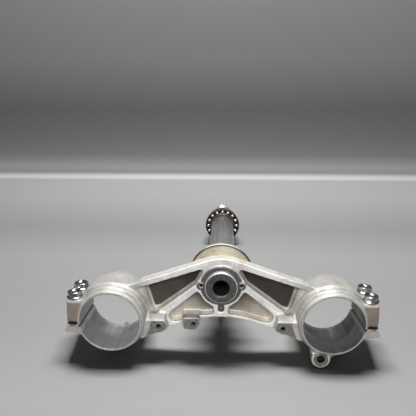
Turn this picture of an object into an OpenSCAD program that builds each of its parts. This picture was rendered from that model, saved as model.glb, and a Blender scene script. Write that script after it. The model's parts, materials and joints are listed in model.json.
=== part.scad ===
// Lower fork clamp of a motorcycle with its steering stem, dust seal, two caged ball bearings,
// adjusting nut, pinch bolts and locating pin, lying on its lug and on the end of its stem.
// Millimetres, +Z up, +X across the forks, +Y away from the fork clamps along the floor.

/* [Fork clamps] */
// Distance between the two fork axes
fork_spacing = 208; // [196:1:220]
// Distance of the fork axes in front of the steering axis
fork_offset = 33.2; // [28:0.2:38]
// Diameter of the fork bores
fork_d = 56; // [52:0.5:58]
// Wall of a fork ring at its thickest
ring_wall = 7; // [5.5:0.5:9]
// Height of a fork ring along its bore
ring_depth = 47; // [42:0.5:52]
// Wall of a fork ring at its near rim
rim_wall = 1.9; // [1.4:0.1:2.6]

/* [Clamp ears] */
// How far an ear stands out from the fork axis
ear_reach = 42; // [40:0.5:46]
// Height of the bolt seat above the fork axis
ear_top = 19; // [16:0.5:22]
// Depth of the lower ear below the fork axis
ear_bottom = 14; // [12:0.5:18]
// Width of the slit between the two ears
slit_w = 1.9; // [1.2:0.1:3]
// Distance of the slit below the fork axis
slit_drop = 4; // [2:0.5:6]
// Length of an ear along the fork bore
ear_len = 37; // [34:0.5:40]

/* [Web] */
// Where the near face of the web lies along the stem
web_near = 12; // [11:0.5:14]
// Depth of the web along the stem
web_depth = 13; // [11:0.5:17]
// Thickness of the closed floor behind the pockets
floor_t = 3; // [2:0.25:5]
// Rounding of the pocket corners
pocket_round = 2; // [1:0.25:3]
// Outer radius of the stem boss
boss_r = 19.6; // [18.5:0.1:21]
// Where the near face of the stem boss lies along the stem
boss_near = 10.5; // [9:0.25:12]
// How far the far face of the stem boss lies short of the far face of the fork rings
boss_drop = 10; // [9:0.5:13]
// Diameter of the two small holes beside the stem
side_hole_d = 3.4; // [2.5:0.1:4]

/* [Threaded blocks] */
// Diameter of the threaded holes in the two outer blocks
block_hole_d = 4.8; // [4:0.1:5.4]
// Diameter of the threaded hole in the middle block
mid_hole_d = 4.2; // [3.4:0.1:5]
// Where the near faces of the blocks lie along the stem
block_near = 6; // [5:0.25:9]

/* [Lug] */
// Outer radius of the lug under the right ring
lug_r = 8.9; // [8:0.1:10]
// Diameter of the hole in the lug
lug_hole_d = 7; // [5:0.2:8]
// Thickness of the lug
lug_t = 5; // [4:0.25:6.5]
// Distance of the lug hole in front of the fork axes
lug_drop = 35.8; // [34:0.1:38]

/* [Stem] */
// Outer diameter of the stem at its lower end
stem_d = 30.6; // [29:0.1:32]
// Diameter of the hole through the stem
stem_hole_d = 15.4; // [12:0.2:17]
// How far the stem stands out below the boss
stem_out = 4.7; // [3:0.1:6]
// Overall length of the stem
stem_len = 274; // [262:1:286]
// Diameter of the upper bearing seat
seat_d = 26; // [25:0.1:27]
// Diameter of the upper end, with the seat of the upper fork bridge and the last thread
thread_d = 23; // [21:0.5:24.5]
// Length of the thread for the top nut, above the plain seat of the upper fork bridge
end_thread = 16; // [10:1:24]
// Pitch of the threads at the upper end
thread_pitch = 1.5; // [1:0.25:2]
// Depth of the threads
thread_depth = 0.7; // [0.4:0.05:0.9]

/* [Bearings] */
// Distance between the two rings of balls
bearing_gap = 156.5; // [150:0.5:164]
// Diameter of the circle through the ball centres
pitch_d = 37.7; // [37:0.1:39]
// Diameter of one ball
ball_d = 6; // [5:0.1:6.6]
// Distance from the seal washer to the near side of the lower balls
low_seat = 8.2; // [7.6:0.2:9]
// Distance from the upper ball centres to the end of their race
high_seat = 11.5; // [10.5:0.25:13]
// Number of balls in each bearing
ball_count = 16; // [12:1:17]
// How far the ball cages stand out beyond the ball centres
cage_lip = 3.75; // [3.2:0.05:4.6]

/* [Seal and nut] */
// Outer diameter of the dust seal
seal_d = 63; // [58:0.5:66]
// Wall of the adjusting nut outside its thread
nut_wall = 5.5; // [4.5:0.25:7]
// Height of the adjusting nut
nut_h = 9; // [7:0.5:12]
// Number of spanner slots in the adjusting nut
nut_slots = 6; // [4:1:8]

/* [Pinch bolts] */
// Thread diameter of the pinch bolts
bolt_d = 8; // [6:0.5:9]
// Distance between the two bolts of one clamp
bolt_pitch = 20; // [18:0.5:22]
// Width of the hexagon head across its flats
hex_af = 12; // [11:0.25:13]
// Diameter of the flange under the head
flange_d = 15.2; // [14.4:0.1:16]
// Height of the head with its flange
head_h = 6.4; // [5:0.2:8]

/* [Pin] */
// Diameter of the pin behind the left ring
pin_d = 4.6; // [3:0.1:5.2]
// How far the pin stands out of the ring
pin_out = 7; // [5:0.5:8]

/* [Hidden] */
$fn = 48;

fork_x = fork_spacing / 2;
bore_r = fork_d / 2;
ring_r = bore_r + ring_wall;
rim_r = bore_r + rim_wall;
web_far = web_near + web_depth;
pocket_floor = web_far - floor_t;
boss_far = ring_depth - boss_drop;
run = 0.3;

// Stem sizes along its own axis
stem_r = stem_d / 2;
stem_z0 = boss_near - stem_out;
stem_z1 = stem_z0 + stem_len;
seat_r = seat_d / 2;
thread_r = thread_d / 2;
tube_r = stem_r - 0.9;

// Seal, washer and bearings stacked on the far side of the boss
seal_z = boss_far + 1.8;
seal_t = 2.4;
washer_t = 0.9;
race_z = seal_z + seal_t + washer_t;
ball_r = ball_d / 2;
pitch_r = pitch_d / 2;
cage_r = pitch_r + cage_lip;
low_ball_z = race_z + low_seat + ball_r;
high_ball_z = low_ball_z + bearing_gap;
race_top = high_ball_z + high_seat;
nut_z = race_top + 1;
nut_r = seat_r - 0.5 + nut_wall;

// Lug below the right ring
lug_x = fork_x - 9.8;
lug_y = fork_offset + lug_drop;
lug_z = 1.5;

// Pinch bolts and their seats
bolt_x = ear_reach - 6.6;
ear_z0 = 5;
bolt_z = [ear_z0 + ear_len / 2 - bolt_pitch / 2, ear_z0 + ear_len / 2 + bolt_pitch / 2];
bolt_len = ear_top + ear_bottom - 1.5;

// The part lies on the far lower edge of the lug and on the end of the stem
rest_y = lug_y + lug_r;
rest_z = lug_z + lug_t;
lie_tilt = atan((rest_y - thread_r) / (stem_z1 - 1.2 - rest_z));

// Turns the stem axis into the lying direction with the lower end of the stem at the origin
module lay() {
  rotate([-(90 + lie_tilt), 0, 0]) translate([0, 0, -stem_z0]) children();
}

// Web points are kept for a spacing of 208 and an offset of 33.2 and follow both sizes
function web(p) = [for (q = p) [q[0] * fork_x / 104, -q[1] + (fork_offset - 33.2) * abs(q[0]) / 104]];
function flip(p) = [for (i = [len(p) - 1:-1:0]) [-p[i][0], p[i][1]]];

TOP = [[0, 27], [10, 25.7], [20, 22.6], [30, 19], [38, 16.1], [48, 12.6], [57, 9.5], [67, 6.3], [78, 2.7],
       [92, -1.6], [104, -6]];
LOW = [[104, -60], [76, -53.6], [62, -47.6], [53.2, -43.6], [47.5, -42.6], [37, -39.9], [27, -36.8],
       [18, -34.2], [9, -33], [0, -32.7]];
UPPER_POCKET = [[72.6, -2.2], [57.3, 2.8], [47.5, 6], [38.5, 8.9], [29, 12.2], [17.2, 15.9], [16.2, 13.9],
                [20.5, 7], [24.4, 0.6], [40, -11.5], [56.4, -23.7], [60.5, -26.9], [63.4, -28.8], [65.7, -26.2]];
LOWER_POCKET = [[49.8, -32.8], [48, -28], [35, -16.9], [22, -6.3], [20.5, -8.5], [15.5, -16.5], [7, -22.2],
                [6.8, -29.6], [18, -30.6], [28, -33.2], [38, -36.3], [46, -38]];
RECESS = [[71.8, -2.4], [84, -5], [92, -8.5], [92, -32], [72, -31], [66.5, -27.5], [64.9, -25.6]];
MID_BLOCK = [[-36.8, -31], [-21.4, -30.4], [-19.8, -33.4], [-19.7, -38], [-22, -42], [-26, -43.4], [-35.8, -42.4]];

module soft(r) {
  offset(r = r) offset(delta = -r) children();
}

module ring_shape() {
  w = ring_wall - rim_wall;
  polygon([[bore_r + 0.4, 0], [rim_r, 0], [rim_r + 0.1, 1.9], [rim_r + w * 0.28, 2.5], [rim_r + w * 0.34, 4.4],
           [rim_r + w * 0.56, 6.2], [rim_r + w * 0.62, 8.6], [ring_r - 0.7, 11.6], [ring_r, 13.2],
           [ring_r, ring_depth - 10], [ring_r - 2.2, ring_depth - 3.4],
           [ring_r - 2.4, ring_depth - 1], [ring_r - 3.4, ring_depth], [bore_r + 0.6, ring_depth],
           [bore_r - 4, ring_depth], [bore_r - 4, 0]]);
}

module bore_shape() {
  polygon([[0, -1], [bore_r + 1.4, -1], [bore_r, 0.5], [bore_r, ring_depth - 0.6],
           [bore_r + 1.6, ring_depth + 1], [0, ring_depth + 1]]);
}

module web_outline() {
  polygon(web(concat(TOP, LOW, flip([for (q = LOW) if (q[0] > 0) q]), flip([for (q = TOP) if (q[0] > 0) q]))));
}

// Extrudes a shape drawn in y and z from x0 to x1
module along_x(x0, x1) {
  translate([x0, 0, 0]) rotate([90, 0, 90]) linear_extrude(x1 - x0) children();
}

module outer_block(side) {
  k = fork_x / 104;
  s = fork_offset - 33.2;
  y0 = 34.3 + s * 0.6;
  intersection() {
    along_x(side > 0 ? 50 * k : -78 * k, side > 0 ? 78 * k : -50 * k)
      polygon([[y0, block_near], [y0 + 24, block_near], [y0 + 24, web_far], [y0 - 12, web_far],
               [y0 - 12, web_near + 0.1], [y0 - 7.2, web_near]]);
    linear_extrude(web_far) scale([side, 1]) soft(2.4)
      polygon(web([[51.6, -20], [52.6, -35.4], [50.6, -38], [50.8, -43.2], [56.2, -46.3], [62, -47.6], [76, -53.6],
                   [82, -46], [72.6, -34], [69, -27], [66, -20]]));
  }
}

// Ear pair of one ring, drawn with x as the outboard direction from the fork axis
module ears() {
  difference() {
    translate([0, 0, ear_z0]) linear_extrude(ear_len)
      polygon([[bore_r - 4, -ear_top], [ear_reach - 1.2, -ear_top], [ear_reach - 0.6, -ear_top + 1],
               [ear_reach + 0.4, slit_drop + 5], [ear_reach + 2.8, ear_bottom - 2.4],
               [ear_reach + 2.8, ear_bottom], [bore_r + 1, ear_bottom + 2], [bore_r - 4, ear_bottom + 4]]);
    along_x(0, ear_reach + 6)
      polygon([[-ear_top - 1, ear_z0 - 1], [-ear_top + 2.4, ear_z0 - 1], [-ear_top + 2.4, ear_z0],
               [-ear_top + 0.5, ear_z0 + 1.3], [-ear_top, ear_z0 + 2.6], [-ear_top - 1, ear_z0 + 2.6]]);
    along_x(0, ear_reach + 6)
      polygon([[-ear_top - 1, ear_z0 + ear_len + 1], [-ear_top + 2, ear_z0 + ear_len + 1],
               [-ear_top - 1, ear_z0 + ear_len - 2]]);
  }
}

module ear_cuts() {
  translate([bore_r - 8, slit_drop - slit_w / 2, -1]) cube([ear_reach, slit_w, ring_depth + 2]);
  translate([0, slit_drop, -1]) linear_extrude(ring_depth + 2)
    polygon([[bore_r - 4, -slit_w / 2 - 2.2], [bore_r + 1.6, -slit_w / 2], [bore_r + 1.6, slit_w / 2],
             [bore_r - 4, slit_w / 2 + 2.2]]);
  for (z = bolt_z) translate([bolt_x, 0, z]) rotate([90, 0, 0]) {
    translate([0, 0, ear_top]) cylinder(r = flange_d / 2 + 0.6, h = 12);
    translate([0, 0, -slit_drop]) cylinder(d = bolt_d + 0.6, h = ear_top + slit_drop + 1);
    translate([0, 0, -ear_bottom - 4]) cylinder(d = bolt_d, h = ear_bottom + 5);
  }
}

module fork_frame(side) {
  translate([side * fork_x, fork_offset, 0]) scale([side, 1, 1]) children();
}

module lug() {
  translate([lug_x, lug_y, lug_z]) cylinder(r = lug_r, h = lug_t);
  translate([lug_x - lug_r, fork_offset + bore_r + 1, lug_z + 0.4]) cube([lug_r * 1.9, lug_y - fork_offset - bore_r - 1, lug_t - 0.4]);
  translate([lug_x - lug_r, 0, 0]) rotate([90, 0, 90]) linear_extrude(6)
    polygon([[fork_offset + bore_r + 1, lug_z + 1], [lug_y - 1, lug_z + 1], [lug_y + 2, lug_z + lug_t],
             [fork_offset + ring_r - 0.6, 17], [fork_offset + bore_r + 1, 17]]);
}

module lower_clamp() {
  color([0.78, 0.77, 0.74]) difference() {
    union() {
      difference() {
        union() {
          translate([0, 0, web_near]) linear_extrude(web_depth - 2.2) web_outline();
          translate([0, 0, web_far - 2.3]) linear_extrude(2.3, scale = 1) offset(delta = -1.6) web_outline();
          for (s = [-1, 1]) outer_block(s);
          translate([0, 0, block_near]) linear_extrude(web_far - 1.4 - block_near) soft(1.5) polygon(web(MID_BLOCK));
        }
        for (s = [-1, 1]) {
          translate([0, 0, -1]) linear_extrude(pocket_floor + 1) scale([s, 1]) soft(pocket_round) polygon(web(UPPER_POCKET));
          translate([0, 0, -1]) linear_extrude(web_near + 5) scale([s, 1]) soft(1) difference() {
            polygon(web(RECESS));
            translate([fork_x, fork_offset]) circle(ring_r + 0.8);
          }
        }
        translate([0, 0, -1]) linear_extrude(pocket_floor) soft(pocket_round) polygon(web(LOWER_POCKET));
        translate([0, 0, -1]) linear_extrude(pocket_floor) soft(pocket_round) difference() {
          scale([-1, 1]) polygon(web(LOWER_POCKET));
          polygon(web([[-38.5, -45], [-36.4, -30.2], [-20.2, -29.6], [-19, -45]]));
        }
      }
      translate([0, 0, boss_near]) cylinder(r1 = boss_r - 0.8, r2 = boss_r, h = 0.8);
      translate([0, 0, boss_near + 0.8]) cylinder(r = boss_r, h = boss_far - boss_near - 0.8);
      translate([0, 0, web_near + 0.6]) cylinder(r1 = boss_r + 0.6, r2 = boss_r + 2.6, h = 3.4);
      translate([0, 0, web_near + 4]) cylinder(r = boss_r + 2.6, h = web_depth - 4);
      translate([0, 0, web_far]) cylinder(r1 = boss_r + 2.6, r2 = boss_r + 1.4, h = boss_far - web_far - 2);
      intersection() {
        translate([0, 0, web_near]) linear_extrude(web_depth - 2.2) web_outline();
        for (s = [-1, 1]) fork_frame(s) translate([0, 0, web_near]) cylinder(r1 = ring_r + 0.2, r2 = ring_r + 3.6, h = 4.4);
      }
      for (s = [-1, 1]) translate([s * (boss_r - 0.4), 0, boss_near - 1]) cylinder(r = side_hole_d / 2 + 2, h = web_depth);
      for (s = [-1, 1]) fork_frame(s) {
        rotate_extrude() ring_shape();
        ears();
      }
      lug();
    }
    for (s = [-1, 1]) fork_frame(s) {
      rotate_extrude() bore_shape();
      ear_cuts();
    }
    translate([0, 0, -1]) cylinder(r = stem_r, h = ring_depth + 4);
    translate([-2.7, boss_r + 0.6, -1]) cube([5.4, 6.6, web_near + 8]);
    for (s = [-1, 1]) rib_groove(s);
    for (s = [-1, 1]) translate([s * (boss_r - 0.9), 0, -1]) cylinder(d = side_hole_d, h = boss_near + 12);
    block_holes();
    translate([lug_x, lug_y, -1]) cylinder(d = lug_hole_d, h = lug_z + lug_t + 2);
    translate([lug_x, lug_y, lug_z - 1]) cylinder(r = lug_hole_d / 2 + 2, h = 1.7);
    translate([-fork_x + 3.6, fork_offset + bore_r + pin_seat, ring_depth - 8]) cylinder(d = pin_d, h = 9);
  }
}

// Shallow channel between the two crests of the diagonal rib
module rib_groove(s) {
  k = fork_x / 104;
  a = web([[25.6, -4.6]])[0];
  b = web([[52.4, -26.8]])[0];
  d = b - a;
  scale([s, 1, 1]) translate([a[0], a[1], web_near]) rotate([0, 0, atan2(d[1], d[0])])
    along_x(0, norm(d)) polygon([[-0.5 * k, -1], [-0.5 * k, 0.9], [0.5 * k, 0.9], [0.9 * k, -1]]);
}

pin_seat = pin_d / 2 + 0.15;

module block_holes() {
  k = fork_x / 104;
  for (q = web([[-59.2, -40.3], [58.4, -40.9]])) translate([q[0], q[1], 0]) {
    cylinder(d = block_hole_d, h = web_far - 4);
    translate([0, 0, block_near - 1]) cylinder(d1 = block_hole_d + 3, d2 = block_hole_d, h = 1.5);
  }
  for (q = web([[-25.9, -37.2]])) translate([q[0], q[1], 0]) {
    cylinder(d = mid_hole_d, h = web_far - 6);
    translate([0, 0, block_near - 1]) cylinder(d1 = mid_hole_d + 3, d2 = mid_hole_d, h = 1.5);
  }
}

module steering_stem() {
  h = stem_hole_d / 2;
  z2 = high_ball_z - 6;
  color([0.62, 0.62, 0.61]) rotate_extrude()
    polygon(concat([[h, stem_z0], [stem_r - 0.8, stem_z0], [stem_r, stem_z0 + 0.8], [stem_r, race_z + 12],
             [tube_r + 0.4, race_z + 15], [tube_r + 0.4, (race_z + z2) / 2], [tube_r, z2 - 10],
             [tube_r, z2 - 0.6], [seat_r, z2], [seat_r, race_top - 1],
             [seat_r - 0.5, race_top], [seat_r - 0.5, nut_z + nut_h + 1]],
             grooves(seat_r - 0.5, nut_z + nut_h + 1.2, nut_z + nut_h + 6),
             [[thread_r, nut_z + nut_h + 8]],
             grooves(thread_r, stem_z1 - end_thread, stem_z1 - 1.4),
             [[thread_r, stem_z1 - 1.2], [thread_r - 1.2, stem_z1], [h + 0.8, stem_z1], [h, stem_z1 - 0.8]]));
}

// Thread as a row of ring grooves in the stem's profile
function grooves(r, z0, z1) =
  [for (i = [0:floor((z1 - z0) / thread_pitch) - 1], q = [[0, 0], [0.5, thread_depth], [1, 0]])
    if (i == 0 || q[0] > 0) [r - q[1], z0 + (i + q[0]) * thread_pitch]];

// Dished cover with a turned lip that hugs the stem beyond the boss
module dust_seal() {
  r = seal_d / 2;
  color([0.86, 0.83, 0.72]) difference() {
    rotate_extrude()
      polygon([[stem_r, boss_far], [stem_r + 4.4, boss_far], [stem_r + 7, seal_z], [r - 3, seal_z + 0.3],
               [r - 1, seal_z - 0.9], [r - 0.2, seal_z - 0.7], [r, seal_z], [r, seal_z + seal_t - 0.4],
               [r - 0.5, seal_z + seal_t], [stem_r, seal_z + seal_t]]);
    rotate([0, 0, -122]) translate([stem_r + 9.4, 0, seal_z - 2]) cylinder(d = 1.8, h = 3.2);
  }
}

module seal_washer() {
  color([0.7, 0.7, 0.7]) difference() {
    translate([0, 0, seal_z + seal_t]) cylinder(r = seal_d / 2 - 0.9, h = washer_t, $fn = 72);
    translate([0, 0, seal_z + seal_t - 1]) cylinder(r = stem_r, h = washer_t + 2);
  }
}

// Inner race with its groove, flat face at zero and the balls above it
module race(hole_r, seat_h) {
  b = ball_r / 3;
  rotate_extrude() difference() {
    polygon([[hole_r, 0], [pitch_r + 2.6 * b, 0], [pitch_r + 2.6 * b, seat_h - 3.6 * b],
             [pitch_r + 0.4 * b, seat_h - 2.2 * b], [pitch_r - 2.2 * b, seat_h + 5.2 * b],
             [pitch_r - 2.8 * b, seat_h + 5.8 * b], [hole_r, seat_h + 5.8 * b]]);
    translate([pitch_r, seat_h + ball_r]) circle(ball_r + run, $fn = 40);
  }
}

module race_cut(seat_h) {
  b = ball_r / 3;
  rotate_extrude() polygon([[0, seat_h - 4 * b], [pitch_r + 2.6 * b + run, seat_h - 4 * b],
             [pitch_r + 2.6 * b + run, seat_h - 3.6 * b + run], [pitch_r + 0.4 * b + run, seat_h - 2.2 * b + run + 0.1],
             [pitch_r - 2.2 * b + run, seat_h + 5.2 * b + 0.2], [pitch_r - 2.2 * b - 0.2, seat_h + 11 * b], [0, seat_h + 11 * b]]);
}

// Cage around the balls, drawn like the race with the ball centres above its flat face
module cage(seat_h) {
  c = seat_h + ball_r;
  b = ball_r / 3;
  difference() {
    rotate_extrude() polygon([[pitch_r - 3.2 * b, c - 2 * b], [cage_r - 0.6, c - 2.4 * b], [cage_r, c - 1.8 * b],
               [cage_r, c + 1.6 * b], [cage_r - 1, c + 2.4 * b], [pitch_r + 0.6 * b, c + 2.2 * b],
               [pitch_r - 1.6 * b, c + 1.9 * b], [pitch_r - 3.2 * b, c + 1.4 * b]]);
    race_cut(seat_h);
    for (i = [0:ball_count - 1]) rotate([0, 0, i * 360 / ball_count]) translate([pitch_r, 0, c]) sphere(r = ball_r, $fn = 24);
  }
}

module balls(c) {
  for (i = [0:ball_count - 1]) rotate([0, 0, i * 360 / ball_count]) translate([pitch_r, 0, c]) sphere(r = ball_r, $fn = 24);
}

module lower_race() {
  color([0.55, 0.55, 0.56]) translate([0, 0, race_z]) race(stem_r, low_seat);
}

module lower_cage() {
  color([0.12, 0.11, 0.1]) translate([0, 0, race_z]) cage(low_seat);
}

module lower_balls() {
  color([0.85, 0.85, 0.85]) balls(low_ball_z);
}

module upper_race() {
  color([0.55, 0.55, 0.56]) translate([0, 0, race_top]) mirror([0, 0, 1]) race(seat_r, high_seat - ball_r);
}

module upper_cage() {
  color([0.12, 0.11, 0.1]) translate([0, 0, race_top]) mirror([0, 0, 1]) cage(high_seat - ball_r);
}

module upper_balls() {
  color([0.85, 0.85, 0.85]) balls(high_ball_z);
}

module adjusting_nut() {
  color([0.8, 0.8, 0.78]) translate([0, 0, nut_z]) difference() {
    union() {
      translate([0, 0, -0.999]) cylinder(r = nut_r - nut_wall * 0.45, h = 1);
      cylinder(r1 = nut_r - 0.6, r2 = nut_r, h = 0.6);
      translate([0, 0, 0.6]) cylinder(r = nut_r, h = nut_h - 1.2);
      translate([0, 0, nut_h - 0.6]) cylinder(r1 = nut_r, r2 = nut_r - 0.6, h = 0.6);
    }
    translate([0, 0, -2]) cylinder(r = seat_r - 0.5, h = nut_h + 4);
    for (i = [0:nut_slots - 1]) rotate([0, 0, i * 360 / nut_slots - 84])
      translate([nut_r - nut_wall * 0.44, -nut_r * 0.14, -2]) cube([nut_wall, nut_r * 0.28, nut_h + 4]);
  }
}

// Flanged hexagon bolt, head seat at zero and the shank going down
module bolt() {
  color([0.72, 0.72, 0.74]) {
    difference() {
      union() {
        cylinder(r = flange_d / 2, h = 1);
        translate([0, 0, 1]) cylinder(r1 = flange_d / 2, r2 = hex_af / 2 + 0.6, h = 0.9);
        intersection() {
          translate([0, 0, 1]) cylinder(d = hex_af / cos(30), h = head_h - 1, $fn = 6);
          translate([0, 0, 1]) cylinder(r1 = hex_af / cos(30) / 2 + 5, r2 = hex_af / 2 + 0.2, h = head_h - 1);
        }
      }
      translate([0, 0, head_h - 1.6]) cylinder(r1 = 2.6, r2 = 4.2, h = 1.7);
    }
    translate([0, 0, -bolt_len + 1]) cylinder(d = bolt_d, h = bolt_len - 1);
    translate([0, 0, -bolt_len]) cylinder(d1 = bolt_d - 2, d2 = bolt_d, h = 1);
  }
}

module clamp_bolt(side, i) {
  lay() fork_frame(side) translate([bolt_x, -ear_top, bolt_z[i]]) rotate([90, 0, 0]) rotate([0, 0, 12 + 7 * side + 9 * i]) bolt();
}

module locating_pin() {
  color([0.7, 0.73, 0.68]) translate([-fork_x + 3.6, fork_offset + bore_r + pin_seat, ring_depth - 8]) {
    cylinder(d = pin_d, h = 8 + pin_out - pin_d / 2);
    translate([0, 0, 8 + pin_out - pin_d / 2]) intersection() {
      sphere(d = pin_d);
      cylinder(d = pin_d + 2, h = pin_d);
    }
  }
}

lay() lower_clamp();
lay() steering_stem();
lay() dust_seal();
lay() seal_washer();
lay() lower_race();
lay() lower_cage();
lay() lower_balls();
lay() upper_race();
lay() upper_cage();
lay() upper_balls();
lay() adjusting_nut();
clamp_bolt(-1, 0);  // bolt_left_near
clamp_bolt(-1, 1);  // bolt_left_far
clamp_bolt(1, 0);  // bolt_right_near
clamp_bolt(1, 1);  // bolt_right_far
lay() locating_pin();
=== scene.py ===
import bpy, bmesh, json, math
import numpy as np
from mathutils import Matrix, Vector

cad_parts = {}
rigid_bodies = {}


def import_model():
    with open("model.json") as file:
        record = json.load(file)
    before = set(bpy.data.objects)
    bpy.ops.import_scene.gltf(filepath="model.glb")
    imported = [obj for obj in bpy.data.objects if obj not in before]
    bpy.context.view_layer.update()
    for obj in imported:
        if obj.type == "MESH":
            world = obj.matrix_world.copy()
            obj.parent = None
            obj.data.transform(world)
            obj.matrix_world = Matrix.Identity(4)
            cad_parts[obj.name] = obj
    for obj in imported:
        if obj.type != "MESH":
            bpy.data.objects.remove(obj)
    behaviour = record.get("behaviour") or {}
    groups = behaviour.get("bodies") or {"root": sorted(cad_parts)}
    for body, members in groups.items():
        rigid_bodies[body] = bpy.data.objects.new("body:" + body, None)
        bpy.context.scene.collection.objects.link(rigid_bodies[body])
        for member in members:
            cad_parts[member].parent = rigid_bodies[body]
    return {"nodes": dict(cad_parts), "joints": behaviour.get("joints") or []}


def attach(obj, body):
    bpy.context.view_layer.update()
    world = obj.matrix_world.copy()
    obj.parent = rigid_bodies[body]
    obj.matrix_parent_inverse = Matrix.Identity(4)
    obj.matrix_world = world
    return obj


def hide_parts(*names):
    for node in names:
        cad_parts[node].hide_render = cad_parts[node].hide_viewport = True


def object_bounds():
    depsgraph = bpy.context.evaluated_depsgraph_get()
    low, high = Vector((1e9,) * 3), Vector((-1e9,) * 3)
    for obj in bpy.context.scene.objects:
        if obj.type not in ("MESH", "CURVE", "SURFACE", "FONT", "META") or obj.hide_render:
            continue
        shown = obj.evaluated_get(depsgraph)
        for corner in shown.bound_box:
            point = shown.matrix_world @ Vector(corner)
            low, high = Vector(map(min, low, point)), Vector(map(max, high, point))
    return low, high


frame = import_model()
cad_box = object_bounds()
nodes = frame["nodes"]
scene = bpy.context.scene

# Directions in the row frame: along the stem, and square to it away from the forks
AX = Vector(frame["joints"][0]["axis"]).normalized()
ST, CT = -AX.z, AX.y
UP = Vector((0, ST, CT))
MM = 0.001

# Sizes of the CAD model in millimetres, in its own drawing frame:
# x across the forks, y from the stem towards the forks, z along the stem
Z0 = 5.8                                            # the stem's lower end, where the row frame starts
FORK_X, FORK_Y = 104.0, 33.2                        # axis of a fork
BORE, RIM, RING, DEPTH = 28.0, 29.9, 35.0, 47.0     # radii of a fork ring, and its depth
EAR_X, EAR_TOP, EAR_LOW = 42.0, 19.0, 14.0          # reach of its ears, from the fork's axis
SLIT_Y, SLIT_W = 4.0, 1.9
BOLT_X, BOLT_Z, BOLT_LEN = 35.4, (13.5, 33.5), 31.5
STEM_R, STEM_HOLE, STEM_END = 15.3, 7.7, 279.8
SEAT_LOW, SEAT_TOP = 203.8, 221.3                   # the upper bearing's seat
THREAD_DEPTH, THREAD_PITCH = 0.7, 1.5
BOSS_R, BOSS_NEAR, BOSS_FAR = 19.6, 10.5, 37.0
BOSS_HOLE = BOSS_R - 0.9                            # from the axis to each of its side holes
WEB_NEAR, BLOCK_NEAR = 12.0, 6.0                    # faces of the web and of the threaded blocks
BLOCK_FACE = BLOCK_NEAR + 0.2                       # where the blocks are milled
BLOCK_HOLES = ((-59.2, 40.3), (58.4, 40.9), (-25.9, 37.2))
LUG = (94.2, 69.0)
PIN_HOLE = (-FORK_X + 3.6, FORK_Y + 30.4)
SIDES = (-1, 1)


def turn(u, v, w):
    """A vector of the stem's frame, across, square to the stem and along it, in the row frame."""
    return Vector((u, v * ST + w * CT, v * CT - w * ST))


def put(p):
    """A point of the drawing frame, in millimetres, as a point of the row frame, in metres."""
    return turn(p[0] * MM, -p[1] * MM, (p[2] - Z0) * MM)


def at(x, y, side=1):
    """Placement about a line along the stem, mirrored when side is -1."""
    return lambda p: put((x + side * p[0], y + p[1], p[2]))


def fork(side):
    """Placement about a fork's axis, mirrored for the left one."""
    return at(side * FORK_X, FORK_Y, side)


def add(name, data):
    ob = bpy.data.objects.new(name, data)
    scene.collection.objects.link(ob)
    return ob


# ---------------------------------------------------------------- camera
# Fitted to the photograph. Place and directions are in the stem's frame, in metres.
LENS, SENSOR = 38.23, 36.0
CAMERA_AT = (0.0021, 0.1723, -0.3689 - Z0 * MM)
CAMERA_LOOK, CAMERA_UP = (-0.03638, -0.24837, 0.96798), (-0.00812, 0.96865, 0.24823)


def camera():
    data = bpy.data.cameras.new("camera")
    data.sensor_fit, data.sensor_width, data.lens = "HORIZONTAL", SENSOR, LENS
    data.clip_start, data.clip_end = 0.01, 50
    forward = turn(*CAMERA_LOOK).normalized()
    right = forward.cross(turn(*CAMERA_UP)).normalized()
    m = Matrix((right, right.cross(forward), -forward)).transposed().to_4x4()
    m.translation = turn(*CAMERA_AT)
    scene.camera = add("camera", data)
    scene.camera.matrix_world = m


camera()


# ---------------------------------------------------------------- mesh helpers
def piece(name, verts, faces, place=put, smooth=True):
    me = bpy.data.meshes.new(name)
    me.from_pydata([place(v) for v in verts], [], faces)
    bm = bmesh.new()
    bm.from_mesh(me)
    bmesh.ops.remove_doubles(bm, verts=bm.verts, dist=1e-7)
    bmesh.ops.recalc_face_normals(bm, faces=bm.faces)
    for f in bm.faces:
        f.smooth = smooth
    bm.to_mesh(me)
    bm.free()
    return add(name, me)


def lathe(name, profile, place=put, segs=96):
    """A closed profile of (radius, height) turned about the local z axis."""
    n = len(profile)
    verts, faces = [], []
    for k in range(segs):
        a = 2 * math.pi * k / segs
        verts += [(r * math.cos(a), r * math.sin(a), z) for r, z in profile]
        one, two = k * n, (k + 1) % segs * n
        for i in range(n):
            j = (i + 1) % n
            if profile[i][0] or profile[j][0]:      # an edge on the axis makes no face
                faces.append((one + i, one + j, two + j, two + i))
    return piece(name, verts, faces, place)


def rod(r, z0, z1, place=put, segs=96):
    return lathe("rod", [(0, z0), (r, z0), (r, z1), (0, z1)], place, segs)


def prism(name, pts, z0, z1, place=put):
    n = len(pts)
    verts = [(x, y, z0) for x, y in pts] + [(x, y, z1) for x, y in pts]
    faces = [tuple(range(n))[::-1], tuple(range(n, 2 * n))]
    faces += [(i, (i + 1) % n, n + (i + 1) % n, n + i) for i in range(n)]
    return piece(name, verts, faces, place, smooth=False)


def box(lo, hi, place=put):
    pts = [(lo[0], lo[1]), (hi[0], lo[1]), (hi[0], hi[1]), (lo[0], hi[1])]
    return prism("box", pts, lo[2], hi[2], place)


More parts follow.
